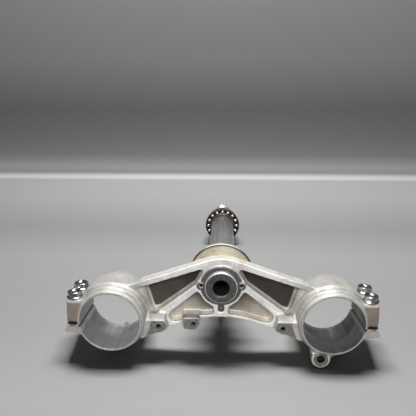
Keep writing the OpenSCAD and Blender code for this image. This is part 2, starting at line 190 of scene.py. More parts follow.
def thread(r, core, z0, z1, segs=72, rows_per_turn=6):
    """A closed sleeve with a helical V thread outside, which fades over its first and last turn."""
    rows = int((z1 - z0) / THREAD_PITCH * rows_per_turn)
    circle = [(math.cos(2 * math.pi * k / segs), math.sin(2 * math.pi * k / segs)) for k in range(segs)]
    verts, faces = [], []
    for i in range(rows + 1):
        z = z0 + (z1 - z0) * i / rows
        fade = min(1, (z - z0) / THREAD_PITCH, (z1 - z) / THREAD_PITCH)
        for k, (c, s) in enumerate(circle):
            t = ((z - z0) / THREAD_PITCH - k / segs) % 1
            crest = min(1, 1.25 * (1 - abs(2 * t - 1))) * fade
            rr = r - THREAD_DEPTH * (1 - crest)
            verts.append((rr * c, rr * s, z))
    base = len(verts)
    verts += [(core * c, core * s, z) for z in (z0, z1) for c, s in circle]
    for k in range(segs):
        j = (k + 1) % segs
        for i in range(rows):
            faces.append((i * segs + k, i * segs + j, (i + 1) * segs + j, (i + 1) * segs + k))
        faces.append((k, base + k, base + j, j))
        faces.append((rows * segs + k, rows * segs + j, base + segs + j, base + segs + k))
        faces.append((base + k, base + segs + k, base + segs + j, base + j))
    return piece("thread", verts, faces)


def join(name, parts):
    bm = bmesh.new()
    for p in parts:
        bm.from_mesh(p.data)
    me = bpy.data.meshes.new(name)
    bm.to_mesh(me)
    bm.free()
    for p in parts:
        bpy.data.objects.remove(p)
    return add(name, me)


def modify(ob, kind, **sets):
    """Gives the object a modifier and applies it to its mesh."""
    mod = ob.modifiers.new(kind.lower(), kind)
    for k, v in sets.items():
        setattr(mod, k, v)
    bpy.context.view_layer.update()
    me = bpy.data.meshes.new_from_object(ob.evaluated_get(bpy.context.evaluated_depsgraph_get()))
    ob.modifiers.clear()
    ob.data = me


def carve(ob, cutter, how="DIFFERENCE"):
    modify(ob, "BOOLEAN", operation=how, solver="MANIFOLD", object=cutter)
    bpy.data.objects.remove(cutter)


def crisp(ob, angle):
    """Smooth shading, with edges sharper than the angle kept sharp."""
    ob.data.shade_smooth()
    ob.data.set_sharp_from_angle(angle=math.radians(angle))
    return ob


def read(items, what, width=3, kind=float):
    """A value of many vertices, edges or faces, as an array with a row for each."""
    a = np.empty(len(items) * width, kind)
    items.foreach_get(what, a)
    return a.reshape(-1, width)


def drawing(co):
    """Row frame points as drawing frame points in millimetres."""
    c = co * 1000
    return np.c_[c[:, 0], -(c @ np.array(UP)), c @ np.array(AX) + Z0]


def soften(me, amount, rounds):
    """Evens the mesh out, by an amount from 0 to 1 at each vertex."""
    co = read(me.vertices, "co")
    a, b = read(me.edges, "vertices", 2, int).T
    n = len(co)
    deg = np.bincount(a, minlength=n) + np.bincount(b, minlength=n)
    amount = amount(drawing(co))[:, None]
    for _ in range(rounds):
        s = np.stack([np.bincount(a, co[b, k], n) + np.bincount(b, co[a, k], n) for k in range(3)], 1)
        co += amount * (s / deg[:, None] - co)
    me.vertices.foreach_set("co", co.ravel())
    me.update()


def keep_largest(ob):
    """Deletes the crumbs that the boolean cuts leave beside the main shell."""
    bm = bmesh.new()
    bm.from_mesh(ob.data)
    todo, shells = set(bm.verts), []
    while todo:
        shell = [todo.pop()]
        for v in shell:                             # the list grows while it is walked
            for e in v.link_edges:
                w = e.other_vert(v)
                if w in todo:
                    todo.discard(w)
                    shell.append(w)
        shells.append(shell)
    shells.sort(key=len)
    bmesh.ops.delete(bm, geom=[v for s in shells[:-1] for v in s], context="VERTS")
    bm.to_mesh(ob.data)
    bm.free()


def slots(me, shades, kind):
    """Gives the mesh its materials, and each face the number of its own."""
    me.materials.clear()
    for s in shades:
        me.materials.append(s.material)
    me.polygons.foreach_set("material_index", kind)
    me.update()


def step(x, a, b):
    t = np.clip((x - a) / (b - a), 0, 1)
    return t * t * (3 - 2 * t)


# ---------------------------------------------------------------- material helpers
class Nodes:
    """Short ways to build a node tree."""

    def __init__(self, tree):
        self.tree = tree

    def feed(self, socket, value):
        if isinstance(value, bpy.types.NodeSocket):
            self.tree.links.new(value, socket)
        elif isinstance(value, (tuple, list)) and len(value) == 3 and socket.type == "RGBA":
            socket.default_value = (*value, 1)
        else:
            socket.default_value = value

    def node(self, kind, inputs=None, **sets):
        """A node with its settings, and a value or a socket for each input named or numbered."""
        n = self.tree.nodes.new("ShaderNode" + kind)
        for k, v in sets.items():
            setattr(n, k, v)
        for k, v in (inputs or {}).items():
            self.feed(n.inputs[k], v)
        return n

    def math(self, op, a, b=0.0, clamp=False):
        return self.node("Math", {0: a, 1: b}, operation=op, use_clamp=clamp).outputs[0]

    def ramp(self, fac, stops):
        n = self.node("ValToRGB", {0: fac})
        n.color_ramp.interpolation = "LINEAR"
        el = n.color_ramp.elements
        while len(el) > 1:
            el.remove(el[-1])
        for i, (p, c) in enumerate(stops):
            e = el[0] if i == 0 else el.new(p)
            e.position = p
            e.color = (*c, 1) if isinstance(c, (tuple, list)) else (c, c, c, 1)
        return n.outputs["Color"]

    def mix(self, fac, a, b, blend="MIX"):
        values = {"Factor": fac, "A": a, "B": b}
        return self.node("Mix", values, data_type="RGBA", blend_type=blend).outputs["Result"]

    def times(self, a, b):
        return self.mix(1.0, a, b, "MULTIPLY")

    def span(self, x, a, b, lo=0.0, hi=1.0):
        """A smooth step of x from lo at a to hi at b."""
        values = dict(enumerate((x, a, b, lo, hi)))
        return self.node("MapRange", values, interpolation_type="SMOOTHSTEP").outputs["Result"]


class Shade(Nodes):
    """A procedural material on the Principled BSDF, with the object's point P and normal N."""

    def __init__(self, name, metallic=0.0, rough=0.5):
        self.material = bpy.data.materials.new(name)
        self.material.use_nodes = True
        super().__init__(self.material.node_tree)
        self.bsdf = self.tree.nodes["Principled BSDF"]
        self.to("Metallic", metallic).to("Roughness", rough)
        tc = self.node("TexCoord").outputs
        self.P, self.N = tc["Object"], tc["Normal"]

    def to(self, name, value):
        self.feed(self.bsdf.inputs[name], value)
        return self

    def dot(self, a, b):
        return self.node("VectorMath", {0: a, 1: tuple(b)}, operation="DOT_PRODUCT").outputs["Value"]

    def noise(self, scale, detail=3.0, rough=0.55, vec=None, stretch=None):
        v = vec or self.P
        if stretch:
            v = self.node("Mapping", {"Scale": stretch, "Vector": v}).outputs[0]
        values = {"Scale": scale, "Detail": detail, "Roughness": rough, "Vector": v}
        return self.node("TexNoise", values).outputs["Fac"]

    def along(self):
        """The frame of the stem as a vector: across, square to the stem, and along it."""
        values = {i: self.dot(self.P, axis) for i, axis in enumerate(((1, 0, 0), UP, AX))}
        return self.node("CombineXYZ", values).outputs[0]

    def radius(self):
        """Distance from the stem's axis."""
        flat = self.node("CombineXYZ", {0: self.dot(self.P, (1, 0, 0)), 1: self.dot(self.P, UP)})
        return self.node("VectorMath", {0: flat.outputs[0]}, operation="LENGTH").outputs["Value"]

    def bump(self, height, strength, distance, after=None):
        n = self.node("Bump", {"Strength": strength, "Distance": distance, "Height": height})
        if after is not None:
            self.feed(n.inputs["Normal"], after)
        self.to("Normal", n.outputs[0])
        return n.outputs[0]


def dress(shade, *names):
    """Puts a material on the slots of CAD pieces."""
    for name in names:
        for s in nodes[name].material_slots:
            s.link = "OBJECT"
            s.material = shade.material


# ---------------------------------------------------------------- materials
def cast_material():
    """Blasted aluminium, coloured by the casting's paint, with grain, clouds and dark specks."""
    s = Shade("cast_aluminium", metallic=0.32)
    paint = s.node("Attribute", attribute_name="paint").outputs["Color"]
    grain, blot, speck = s.noise(1500, 2), s.noise(70, 4, 0.6), s.noise(420, 3, 0.6)
    clouds = [(0.32, (0.72, 0.70, 0.67)), (0.5, (0.97, 0.97, 0.97)), (0.7, (1.06, 1.06, 1.05))]
    c = s.times(paint, s.ramp(grain, [(0.3, 0.86), (0.7, 1.08)]))
    c = s.times(c, s.ramp(blot, clouds))
    c = s.mix(s.span(speck, 0.60, 0.72, 0, 0.28), c, (0.16, 0.13, 0.10))
    s.to("Base Color", c)
    s.to("Roughness", s.span(s.noise(160, 4), 0.3, 0.7, 0.32, 0.50))
    pits = s.bump(s.noise(260, 3), 0.25, 0.0003)
    s.bump(grain, 0.3, 0.00012, after=pits)
    return s


def bore_material():
    """Bored and turned surfaces, with fine rings, streaks of painted reflection along the bore, painted light
    and shade in bands round it, and the left bore painted lighter than the right.
    """
    s = Shade("machined_aluminium", metallic=0.6)
    v = s.along()
    x, y, z = s.node("SeparateXYZ", {0: v}).outputs
    # the angle round a fork's axis, from the outer side
    side = s.math("SUBTRACT", s.math("ABSOLUTE", x), FORK_X * MM)
    angle = s.math("ARCTAN2", s.math("ADD", y, FORK_Y * MM), side)
    streak = s.noise(6, 4, 0.6, vec=v, stretch=(34, 34, 1.2))
    ring = s.noise(2600, 1, 0.4, vec=v, stretch=(0.004, 0.004, 1))
    # painted light and shade in bands round the fork's axis: a dark stripe and a light band, standing in for
    # reflections and the top light
    c = s.ramp(s.span(angle, -1.6, 0.4, 0, 1),
               [(0.0, 0.42), (0.35, 0.34), (0.56, 0.30), (0.66, 0.22),
                (0.70, 0.42), (0.78, 0.50), (0.86, 0.34), (1, 0.30)])
    # streaks of painted reflection along the bore
    c = s.times(c, s.ramp(streak, [(0.3, 0.76), (0.7, 1.16)]))
    # painted light: the left bore lighter, the right one darker
    c = s.times(c, s.mix(s.span(x, 0.02, -0.02), (0.47, 0.48, 0.48), (1.27, 1.27, 1.29)))
    c = s.times(c, s.ramp(s.noise(60, 3), [(0.3, (0.86, 0.9, 0.93)), (0.7, (1.1, 1.08, 1.05))]))
    s.to("Base Color", c)
    s.to("Roughness", s.span(streak, 0.3, 0.7, 0.3, 0.46))
    s.bump(ring, 0.25, 0.00006)
    return s


def face_material(name, gain):
    """Milled flat faces: dull grey with faint arcs of the cutter."""
    s = Shade(name, metallic=0.75)
    arcs = s.node("TexWave", {"Scale": 520, "Distortion": 1.5, "Detail": 2, "Vector": s.along()},
                  wave_type="RINGS", rings_direction="SPHERICAL")
    dirt = s.noise(330, 4, 0.65)
    greys = ((0.3, 0.07), (0.55, 0.125), (0.75, 0.20))
    s.to("Base Color", s.ramp(dirt, [(p, (gain * g, gain * g * 0.98, gain * g * 0.95)) for p, g in greys]))
    s.to("Roughness", s.span(dirt, 0.3, 0.7, 0.52, 0.38))
    s.bump(arcs.outputs["Fac"], 0.12, 0.00006)
    return s


def stem_material():
    """Turned steel with soft streaks along it and brown specks, darker towards its upper end."""
    s = Shade("stem_tube", metallic=0.75)
    v = s.along()
    soft = s.noise(10, 4, 0.6, vec=v, stretch=(14, 14, 1.6))
    ring = s.noise(2200, 1, 0.4, vec=v, stretch=(0.004, 0.004, 1))
    c = s.ramp(soft, [(0.28, (0.28, 0.285, 0.285)), (0.5, (0.40, 0.40, 0.395)), (0.72, (0.60, 0.60, 0.59))])
    c = s.mix(s.span(s.dot(s.P, AX), 0.10, 0.19), c, s.times(c, (0.6, 0.6, 0.6)))
    c = s.mix(s.span(s.noise(190, 4, 0.7), 0.56, 0.74, 0, 0.5), c, (0.10, 0.085, 0.07))
    s.to("Base Color", c)
    s.to("Roughness", s.span(soft, 0.3, 0.7, 0.5, 0.34))
    s.bump(ring, 0.18, 0.00005)
    return s


def seal_material():
    """Cream rubber, with a dark line, darker brown towards the stem as painted shade, and a steel rim round
    it painted bright where it looks up and dark elsewhere, as painted light and shade.
    """
    s = Shade("dust_seal_cream")
    rad = s.radius()
    dirt = s.noise(120, 4, 0.6)
    c = s.ramp(dirt, [(0.3, (0.42, 0.36, 0.25)), (0.5, (0.58, 0.53, 0.39)), (0.72, (0.64, 0.60, 0.48))])
    c = s.mix(s.span(rad, 0.0298, 0.0304), c, (0.05, 0.04, 0.03))
    # the steel rim: painted highlight where it looks up, painted shade elsewhere
    rim = s.mix(s.span(s.dot(s.N, UP), 0.72, 0.95), (0.05, 0.045, 0.04), (0.74, 0.73, 0.71))
    c = s.mix(s.span(rad, 0.0311, 0.0314), c, rim)
    # darker brown towards the stem, as painted shade
    c = s.mix(s.span(rad, 0.0205, 0.0185), c, (0.20, 0.16, 0.11))
    s.to("Base Color", c)
    s.to("Roughness", s.span(dirt, 0.3, 0.7, 0.6, 0.36))
    s.bump(s.noise(700, 3), 0.2, 0.0001)
    return s


def cage_material():
    """Blackened steel, rusty brown on its outer edge, the rust brighter where it looks up, as painted light.
    """
    s = Shade("cage_dark").to("Specular IOR Level", 0.15)
    n = s.noise(260, 4, 0.6)
    c = s.ramp(n, [(0.3, (0.004, 0.003, 0.0025)), (0.7, (0.016, 0.011, 0.008))])
    rust = s.ramp(s.noise(500, 4, 0.7), [(0.3, (0.035, 0.016, 0.006)), (0.7, (0.15, 0.075, 0.025))])
    # the outer edge's rust, strongest where it looks up: real rust with painted light
    edge = s.math("MULTIPLY", s.span(s.radius(), 0.0206, 0.0216), s.span(s.dot(s.N, UP), -0.1, 0.5, 0.1, 1))
    s.to("Base Color", s.mix(edge, c, rust))
    s.to("Roughness", s.span(n, 0.3, 0.7, 0.75, 0.5))
    s.bump(s.noise(900, 3), 0.2, 0.00008)
    return s


def metal(name, lo, hi, scale, rough, metallic=0.9, rust=None):
    """Cloudy metal between two colours and two roughnesses, with patches of rust if wished."""
    s = Shade(name, metallic)
    n = s.noise(scale, 4, 0.6)
    c = s.ramp(n, [(0.3, lo), (0.7, hi)])
    if rust:
        c = s.mix(s.span(s.noise(scale * 2.3, 4, 0.7), 0.55, 0.7, 0, rust[0]), c, rust[1])
    s.to("Base Color", c)
    s.to("Roughness", s.span(n, 0.3, 0.7, rough[1], rough[0]))
    s.bump(s.noise(900, 3), 0.15, 0.00008)
    return s


CAST, BORED, STEM = cast_material(), bore_material(), stem_material()
SEAL, CAGE = seal_material(), cage_material()
MILLED, BLOCK = face_material("milled_boss", 1.35), face_material("milled_blocks", 2.5)
ENDFACE = face_material("milled_stem_end", 1.12)
WASHER = metal("washer_steel", (0.42, 0.41, 0.39), (0.70, 0.69, 0.66), 200, (0.22, 0.4))
RACE = metal("race_steel", (0.10, 0.085, 0.07), (0.26, 0.25, 0.235), 240, (0.25, 0.5),
             rust=(0.5, (0.10, 0.05, 0.02)))
BALL = metal("ball_steel", (0.62, 0.62, 0.62), (0.86, 0.86, 0.85), 300, (0.1, 0.2), metallic=1.0)
NUT = metal("nut_zinc", (0.70, 0.70, 0.68), (0.92, 0.92, 0.90), 220, (0.36, 0.5), metallic=0.35)
TURNED = metal("turned_end", (0.62, 0.62, 0.60), (0.82, 0.82, 0.80), 240, (0.3, 0.45), metallic=0.6)
CHROME = metal("bolt_chrome", (0.30, 0.30, 0.315), (0.50, 0.50, 0.515), 260, (0.12, 0.24), metallic=1.0)
PIN = metal("pin_zinc", (0.44, 0.50, 0.43), (0.72, 0.76, 0.70), 260, (0.25, 0.4))
# near black: painted shade deep in the holes and in the stem's bore
HOLE_SHADE = metal("hole_painted_shade", (0.002, 0.002, 0.0018), (0.009, 0.008, 0.007), 180, (0.5, 0.7), metallic=0.2)
THREADS = metal("thread_steel", (0.48, 0.48, 0.47), (0.80, 0.80, 0.78), 260, (0.25, 0.42), metallic=0.8)


# ---------------------------------------------------------------- the clamp's casting
def ring_bands():
    """Turned steps of a fork ring's near end, from the rim out to the full ring."""
    w = RING - RIM
    steps = [(RIM - 0.3, 0.0), (RIM, 0.3), (RIM + 0.1, 1.9), (RIM + w * 0.28, 2.45), (RIM + w * 0.34, 4.4),
             (RIM + w * 0.56, 6.2), (RIM + w * 0.62, 8.6), (RING - 0.7, 11.6), (RING - 0.4, 12.6)]
    return [(BORE - 0.5, 0.0)] + steps + [(BORE - 0.5, 12.6)]


def plugs():
    """Solids that fill every bore, slit and hole of the CAD clamp, a little past their walls."""
    for s in SIDES:
        yield rod(BORE + 1.2, 0.02, DEPTH - 0.02, fork(s))
        yield box((20, SLIT_Y - 2.2, 5), (EAR_X + 0.1, SLIT_Y + 2.2, 42), fork(s))
        for z in BOLT_Z:
            lo, hi = (BOLT_X - 4.6, -EAR_TOP + 0.02, z - 4.6), (BOLT_X + 4.6, EAR_LOW + 1.2, z + 4.6)
            yield box(lo, hi, fork(s))
        yield rod(2.3, BOSS_NEAR + 0.5, 24, at(s * BOSS_HOLE, 0))
    yield rod(STEM_R + 0.5, BOSS_NEAR, BOSS_FAR)
    for x, y in BLOCK_HOLES:
        profile = [(0, BLOCK_NEAR), (4, BLOCK_NEAR), (4, 9), (3, 9), (3, 22), (0, 22)]
        yield lathe("plug", profile, at(x, y), 32)
    yield rod(5.8, 2.2, 6.5, at(*LUG), 48)
    yield rod(2.8, 38, DEPTH - 0.2, at(*PIN_HOLE), 32)


def bores():
    """Bores for the forks, with a lead-in at each end and a relief in the middle."""
    relief = BORE + 0.25
    profile = [(0, -1), (BORE + 1.3, -1), (BORE, 0.5), (BORE, 15), (relief, 15.4), (relief, 31),
               (BORE, 31.4), (BORE, DEPTH - 0.6), (BORE + 1.6, DEPTH + 1), (0, DEPTH + 1)]
    for s in SIDES:
        yield lathe("cut", profile, fork(s), 160)


def slits():
    """The slits between the ears, flared where they open into the bores."""
    lo, hi, flare = SLIT_Y - SLIT_W / 2, SLIT_Y + SLIT_W / 2, 4.4
    pts = [(BORE - 8, SLIT_Y - flare), (BORE + 1.7, lo), (EAR_X + 8, lo),
           (EAR_X + 8, hi), (BORE + 1.7, hi), (BORE - 8, SLIT_Y + flare)]
    for s in SIDES:
        yield prism("cut", pts, -2, DEPTH + 2, fork(s))


def bolt_holes():
    """Holes for the pinch bolts, with a flat seat for each flange."""
    profile = [(0, -EAR_LOW - 5), (4.0, -EAR_LOW - 5), (4.0, -SLIT_Y), (4.3, -SLIT_Y), (4.3, EAR_TOP - 0.1),
               (8.2, EAR_TOP - 0.1), (8.2, EAR_TOP + 12), (0, EAR_TOP + 12)]
    for s in SIDES:
        for z in BOLT_Z:
            def place(p):
                return put((s * (FORK_X + BOLT_X) + p[0], FORK_Y - p[2], z + p[1]))
            yield lathe("cut", profile, place, 64)


def lug_flanks():
    """The waste on either side of the lug, which leaves its round end."""
    reach, corner = 8.75, FORK_Y + RING - 3.5
    for s in SIDES:
        pts = [(LUG[0] + s * 14, 72), (LUG[0] + s * 14, 64.5), (LUG[0], corner)]
        for a in np.linspace(0.0, 1.75, 12):
            pts.append((LUG[0] + reach * math.sin(a) * s, LUG[1] - reach * math.cos(a)))
        yield prism("cut", pts[::s], 0.2, 4.2)


def holes():
    """The stem's seat and the holes in the boss, the blocks and the lug."""
    yield rod(STEM_R, -1, 60)
    for s in SIDES:
        profile = [(0, 0), (2.1, 0), (2.1, BOSS_NEAR + 3.6), (1.8, BOSS_NEAR + 3.8), (1.8, 22), (0, 22)]
        yield lathe("cut", profile, at(s * BOSS_HOLE, 0), 32)
    for x, y in BLOCK_HOLES:
        yield lathe("cut", [(0, 5), (2.65, 5), (2.65, 11.4), (2.35, 11.7), (2.35, 20), (0, 21)], at(x, y), 48)
    yield lathe("cut", [(0, -2), (5.5, -2), (5.5, 2.2), (3.5, 2.2), (3.5, 9), (0, 9)], at(*LUG), 64)


def outer_block_faces():
    """What the milling takes off the two blocks by the rings."""
    pts = [(50, 33.4), (66, 33.4), (68.2, 42), (71.6, 52), (69, 60), (46, 56), (46, 38)]
    for s in SIDES:
        yield prism("cut", [(s * x, y) for x, y in pts], -4, BLOCK_FACE)


def middle_block_face():
    """What it takes off the middle block."""
    yield box((-40, 28, -4), (-17, 47, BLOCK_FACE))


def rib_channels():
    """The channel between the two crests of each diagonal rib."""
    a, b, out = Vector((26.4, 5.4, 11.75)), Vector((51.6, 26.2, 11.75)), Vector((0, 0, 1))
    d = (b - a).normalized()
    end = (b - a).length
    for s in SIDES:
        def place(p):
            v = a + d * p[2] + d.cross(out) * p[0] + out * p[1]
            return put((s * v.x, v.y, v.z))
        profile = [(0, -1), (0.5, -0.8), (0.8, 0), (0.8, end), (0.5, end + 0.8), (0, end + 1)]
        yield lathe("cut", profile, place, 20)


def whereabouts(q):
    """Points as x, y, z and |x|, with their distances from the nearer fork's axis and the stem's."""
    x, y, z = q.T
    ax = np.abs(x)
    return x, y, z, ax, np.hypot(ax - FORK_X, y - FORK_Y), np.hypot(x, y)


def evening(q):
    """How much the skin is evened out: little at shapes that stay crisp."""
    x, y, z, ax, d, r = whereabouts(q)
    a = np.full(len(q), 0.5)
    a[(d < 36.5) & (z < 13)] = 0.12                             # turned bands of the rings
    a[(r < 20.6) & (z < 13)] = 0.06                             # face of the stem boss
    a[(np.hypot(ax - BOSS_R, y) < 4.6) & (z < 13)] = 0.06       # its two ears
    a[np.hypot(x - LUG[0], y - LUG[1]) < 10] = 0.12             # lug
    return a


def blending(q):
    """How much more it is evened out where the web runs into the rings."""
    x, y, z, ax, d, r = whereabouts(q)
    return 0.5 * step(d, 35.2, 37.5) * (1 - step(d, 43, 47)) * step(z, 10.5, 13) * (ax < 98) * (y < 32)


VOXEL, TRIANGLES = 0.00062, 185000                  # grid of the remesh in metres, and what is kept of it


def casting():
    """The clamp as a blasted casting with soft fillets, machined afterwards: its solid with all
    holes filled is remeshed and evened out, and the machined shapes are cut in again."""
    solid = add("solid", nodes["lower_clamp"].data.copy())
    skin = join("clamp_casting", [solid, *plugs()])
    modify(skin, "REMESH", mode="VOXEL", voxel_size=VOXEL, use_smooth_shade=True)
    soften(skin.data, evening, rounds=14)
    soften(skin.data, blending, rounds=40)
    for s in SIDES:
        carve(skin, lathe("bands", ring_bands(), fork(s), 160), "UNION")
    for cuts in (bores, slits, bolt_holes):
        carve(skin, join("cuts", list(cuts())))
    for cut in lug_flanks():
        carve(skin, cut)
    for cuts in (holes, outer_block_faces, middle_block_face):
        carve(skin, join("cuts", list(cuts())))
    for cut in rib_channels():
        carve(skin, cut)
    triangles = len(skin.data.loops) - 2 * len(skin.data.polygons)
    modify(skin, "DECIMATE", ratio=min(1, TRIANGLES / triangles), use_collapse_triangulate=True)
    keep_largest(skin)
    return skin


def tones(q, nm):
    """Colours of the casting's points, by where they lie and which way they look."""
    x, y, z, ax, d, r = whereabouts(q)
    near = -(nm @ np.array(AX))         # 1 where the surface looks along the stem, to its lower end
    up = nm @ np.array(UP)              # 1 where it looks square to the stem, away from the forks
    lug = np.hypot(x - LUG[0], y - LUG[1])
    col = np.tile(np.array([0.57, 0.555, 0.52]), (len(q), 1))

    def lay(mask, c):
        nonlocal col
        mask = np.clip(mask, 0, 1)[:, None]
        col = col * (1 - mask) + np.array(c) * mask

    def fade(by, a, b):
        """From colour a near the boss to colour b away from it."""
        return np.array(a) * (1 - by[:, None]) + np.array(b) * by[:, None]

    # crests of the ribs and flanges, lighter as polished metal and as a painted highlight on their rounded
    # tops, brightest towards the middle
    crest = step(near, 0.6, 0.9) * (1 - step(z, 12.9, 13.8)) * (z > WEB_NEAR - 1) * (r > BOSS_R + 0.4)
    lay(crest * (1 - step(ax, 58, 80)) * step(d, 35.5, 38), (0.96, 0.95, 0.92))
    # walls of the pockets: browner towards the boss, with painted light where they look up and painted shade
    # where they look down, and a painted highlight along their foot, where the fillet catches the light
    web = (ax < 76) & (z < 26) & (z > WEB_NEAR - 1) & (d > 36.2) & (r > BOSS_R + 0.4)
    block = (x > -33.5) * (x < -18) * (y > 27)
    wall = web * step(z, 12.8, 15.0) * step(near, 0.95, 0.8) * (1 - block)
    lay(wall * (1 - 0.9 * step(up, 0.0, 0.5)), fade(step(r, 26, 46), (0.22, 0.175, 0.13), (0.58, 0.53, 0.46)))
    lay(wall * step(up, 0.1, 0.6), (0.86, 0.83, 0.77))
    lay(wall * step(up, -0.2, -0.6), (0.15, 0.12, 0.095))
    lay(web * step(z, 18.8, 19.6) * (1 - step(z, 20.6, 21.4)), (0.82, 0.77, 0.68))
    # floors of the pockets, darker towards the boss, on the right, and in the two deep pockets
    away = step(r, 24, 46)
    floor = web * step(z, 20.3, 20.8) * step(near, 0.55, 0.9)
    deep = floor * step(z, 21.3, 21.8)
    lay(floor, fade(away, (0.17, 0.14, 0.115), (0.68, 0.64, 0.56)))
    lay(floor * (x > 0) * 0.3, (0.26, 0.23, 0.19))
    lay(deep, fade(away, (0.035, 0.027, 0.021), (0.085, 0.073, 0.063)))
    lay(deep * (x > 0) * 0.6, (0.042, 0.033, 0.026))
    # rims and grooves of the rings, darkened as painted shade: the rims against the strong light on them, the
    # grooves in their creases
    groove = (np.abs(z - 4.6) < 0.5) | (np.abs(z - 8.8) < 0.5)
    lay(((d < RIM + 0.25) & (z < 2.2)) * 0.5, (0.42, 0.41, 0.39))
    lay(groove * (d < RING - 0.4) * (d > RIM - 0.2) * 0.55, (0.30, 0.29, 0.27))
    # recess of the middle rib, and painted shade on the upper sides of the blocks where they look up
    lay((ax < 2.75) * (y > 18) * (y < 30) * step(z, 12.4, 13.2) * (z < 20) * 0.9, (0.15, 0.12, 0.09))
    block_tops = (z < WEB_NEAR) * (d > 36.5) * (ax > 17) * (ax < 74) * (y > 20)
    lay(block_tops * step(up, 0.2, 0.8), (0.33, 0.32, 0.30))
    # ears, rosy brown above the slit and lighter below it
    ear = ((ax - FORK_X > 26) & (d > 30)) * step(near, 0.5, 0.9)
    lay(ear * 0.95, (0.30, 0.245, 0.21))
    lay(ear * (y > FORK_Y + SLIT_Y), (0.53, 0.47, 0.42))
    # the lug's counterbore painted dark, its hole painted black as painted shade, and its neck darkened as
    # the ring's painted shadow
    lay(((lug < 6.6) & (z > 1)) * step(near, 0.5, 0.9), (0.035, 0.032, 0.029))
    lay((lug < 3.8) & (z > 2.0) & (z < 12), (0.012, 0.011, 0.010))
    lay(((y > 60) & (d > 36) & (lug > 9.1) & (x > 80)) * 0.85, (0.12, 0.105, 0.09))
    # mouths of the threaded holes painted near white, as machined metal and as painted light, and the slits
    # painted dark, as painted shade
    for hx, hy in BLOCK_HOLES:
        lay((np.hypot(x - hx, y - hy) < 2.75) & (z > BLOCK_NEAR + 0.3), (0.95, 0.94, 0.92))
    lay((np.hypot(ax - BOSS_HOLE, y) < 2.2) & (z > BOSS_NEAR + 0.3), (0.95, 0.94, 0.92))
    lay((ax - FORK_X > 24) & (np.abs(y - FORK_Y - SLIT_Y) < SLIT_W / 2 + 0.05), (0.03, 0.025, 0.02))
    return col


def kinds(q, nm):
    """The material slot of each of the casting's faces, by its centre and normal."""
    cast, bored, milled, block, hole = range(5)
    x, y, z, ax, d, r = whereabouts(q)
    near = -(nm @ np.array(AX))
    boss_hole = np.hypot(ax - BOSS_HOLE, y)
    kind = np.full(len(q), cast)
    kind[(d < BORE + 0.45) & (z > -0.1) & (z < DEPTH + 0.1)] = bored
    kind[(near > 0.98) & (np.abs(z - BLOCK_FACE) < 0.06) & (d > 35)] = block
    kind[(r < BOSS_R - 0.35) & (z < WEB_NEAR + 0.2) & (near > 0.6)] = milled
    kind[(boss_hole < 4.0) & (z < WEB_NEAR) & (near > 0.6)] = milled
    kind[r < STEM_R + 0.1] = milled
    # deep in the holes, the near-black material, as painted shade
    kind[(boss_hole < 2.2) & (z > BOSS_NEAR + 2.2)] = hole
    for hx, hy in BLOCK_HOLES:
        kind[(np.hypot(x - hx, y - hy) < 2.8) & (z > BLOCK_NEAR + 3.2)] = hole
    return kind


def paint(ob):
    """Gives the casting its colours at each point, and its materials."""
    me = ob.data
    col = tones(drawing(read(me.vertices, "co")), read(me.vertex_normals, "vector"))
    attr = me.color_attributes.new("paint", "FLOAT_COLOR", "POINT")
    attr.data.foreach_set("color", np.c_[col, np.ones(len(col))].astype(np.float32).ravel())
    kind = kinds(drawing(read(me.polygons, "center")), read(me.polygons, "normal"))
    slots(me, (CAST, BORED, MILLED, BLOCK, HOLE_SHADE), kind)


clamp = casting()
paint(clamp)
crisp(clamp, angle=38)
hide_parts("lower_clamp")
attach(clamp, "clamp_and_stem")


# ---------------------------------------------------------------- the stem with its threads
def stem():
    """The tube, hollow from end to end, with a sleeve for each thread."""
    h, low, top = STEM_HOLE, SEAT_LOW, SEAT_TOP
    body = lathe("stem_tube", [
        (h, Z0 + 0.5), (h + 0.5, Z0), (STEM_R - 0.9, Z0), (STEM_R - 0.35, Z0 + 0.25), (STEM_R, Z0 + 0.9),
        (STEM_R, 54.1), (14.8, 57.1), (14.8, 122.95), (14.4, low - 10), (14.4, low - 0.6), (13.9, low - 0.1),
        (13, low), (13, top - 1), (12.5, top), (12.5, 232.3), (11.7, 232.4), (11.7, 237.2),
        (11.9, 237.6), (11.5, 239.3), (11.5, 263.6), (10.7, 263.8), (10.7, 277.9), (10.4, 278.6),
        (10.3, STEM_END), (h + 0.8, STEM_END), (h, STEM_END - 0.8)], segs=128)
    threads = [thread(12.5, 11.2, 232.35, 237.3), thread(11.5, 10.0, 263.7, 278.5)]
    ob = join("steering_stem_threaded", [body] + threads)
    x, y, z, ax, d, r = whereabouts(drawing(read(ob.data.polygons, "center")))
    plain, threaded, end_face, bore, edge = range(5)
    kind = np.where(z > top + 0.1, threaded, plain)
    kind[(z < Z0 + 0.3) & (r < STEM_R - 0.6)] = end_face
    kind[(z > Z0 + 0.02) & (z < 12) & (r > STEM_R - 0.8)] = edge
    # the bore takes the near-black material, as painted shade
    kind[r < h + 0.05] = bore
    slots(ob.data, (STEM, THREADS, ENDFACE, HOLE_SHADE, TURNED), kind)
    return crisp(ob, angle=50)


tube = stem()
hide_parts("steering_stem")
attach(tube, "clamp_and_stem")


# ---------------------------------------------------------------- pinch bolts
HEX_R, HEAD_TOP = 6.93, 6.4               # half the head's width over its corners, and its height


